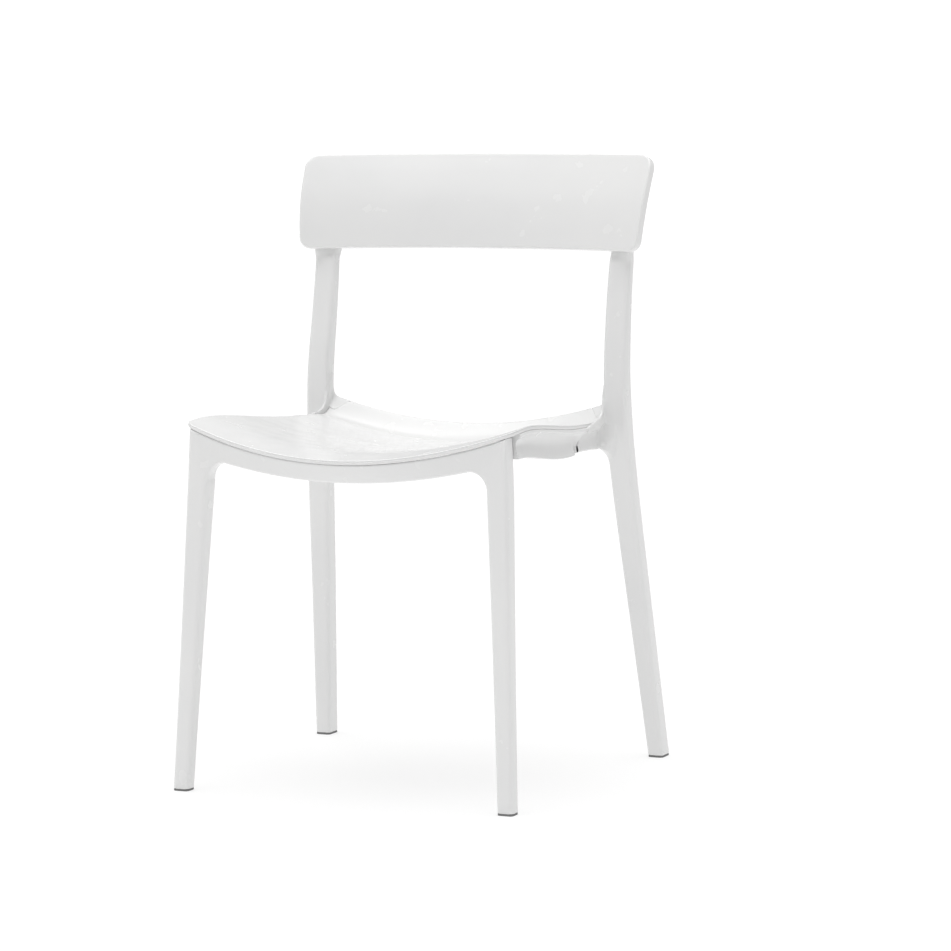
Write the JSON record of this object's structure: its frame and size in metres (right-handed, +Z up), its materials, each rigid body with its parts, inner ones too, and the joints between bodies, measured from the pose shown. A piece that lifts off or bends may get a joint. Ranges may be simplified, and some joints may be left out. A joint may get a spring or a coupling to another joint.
{
  "type": "stacking chair",
  "caption": "Stacking chair: dished plastic seat on a frame of splayed tapering legs, with a wide curved back panel held on raked uprights.",
  "frame": {"origin": "on the floor, under the middle of the chair's bounding box", "axes": "+Z up, -Y the way the chair faces, +X to the right as seen from the front"},
  "size_m": [0.5156, 0.5105, 0.8102],
  "materials": {
    "white_plastic": "satin white moulded polypropylene",
    "glide_plastic": "matt grey nylon",
    "screw_steel": "zinc-plated"
  },
  "bodies": {
    "root": {"seat_panel": "white_plastic", "front_frame": "white_plastic", "rear_frame": "white_plastic", "left_side_rail": "white_plastic", "right_side_rail": "white_plastic", "back_panel": "white_plastic", "back_screw_caps": "white_plastic", "front_left_glide": "glide_plastic", "front_right_glide": "glide_plastic", "rear_left_glide": "glide_plastic", "rear_right_glide": "glide_plastic", "seat_screws": "screw_steel", "rail_screws": "screw_steel", "back_screws": "screw_steel"}
  },
  "joints": []
}
